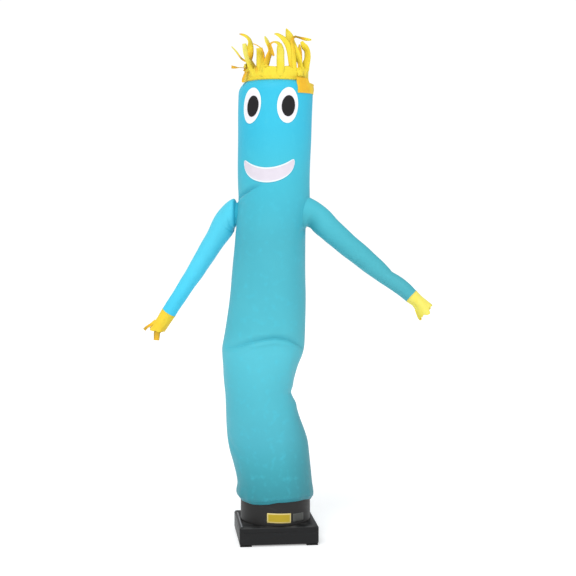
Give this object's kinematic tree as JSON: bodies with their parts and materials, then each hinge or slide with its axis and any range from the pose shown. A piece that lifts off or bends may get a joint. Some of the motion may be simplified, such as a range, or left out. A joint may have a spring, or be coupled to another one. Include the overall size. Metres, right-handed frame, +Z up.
{
  "type": "inflatable air dancer on a blower",
  "caption": "Waving tube figure of light cloth with a smiling face, two fringed sleeves and a fringe of hair, blown up by a low square fan unit with a round collar.",
  "frame": {"origin": "on the floor, below the middle of the whole object's box; the blower's centre is 54 mm left of it and 23 mm in front of it", "axes": "+Z up, -Y towards the front of the blower, +X to the right as seen from the front"},
  "size_m": [1.2208, 0.4984, 2.2154],
  "materials": {
    "body_cloth": "light coated nylon, cyan",
    "hair_cloth": "light coated nylon, yellow",
    "tab_cloth": "light coated nylon, orange",
    "white_cloth": "sewn-on nylon, white",
    "black_cloth": "sewn-on nylon, black",
    "black_plastic": "moulded, fine grain",
    "foot_rubber": "matt",
    "yellow_sticker": "printed film, blank",
    "grey_sticker": "printed film, blank"
  },
  "bodies": {
    "root": {"tube_body": "body_cloth", "sleeve_left": "body_cloth", "sleeve_right": "body_cloth", "cuff_left": "hair_cloth", "cuff_right": "hair_cloth", "hair_fringe": "hair_cloth", "hair_tab": "tab_cloth", "eye_left": "white_cloth", "eye_right": "white_cloth", "mouth": "white_cloth", "pupil_left": "black_cloth", "pupil_right": "black_cloth", "blower_housing": "black_plastic", "blower_collar": "black_plastic", "foot_front_left": "foot_rubber", "foot_front_right": "foot_rubber", "foot_back_left": "foot_rubber", "foot_back_right": "foot_rubber", "sticker_yellow": "yellow_sticker", "sticker_grey": "grey_sticker"}
  },
  "joints": []
}
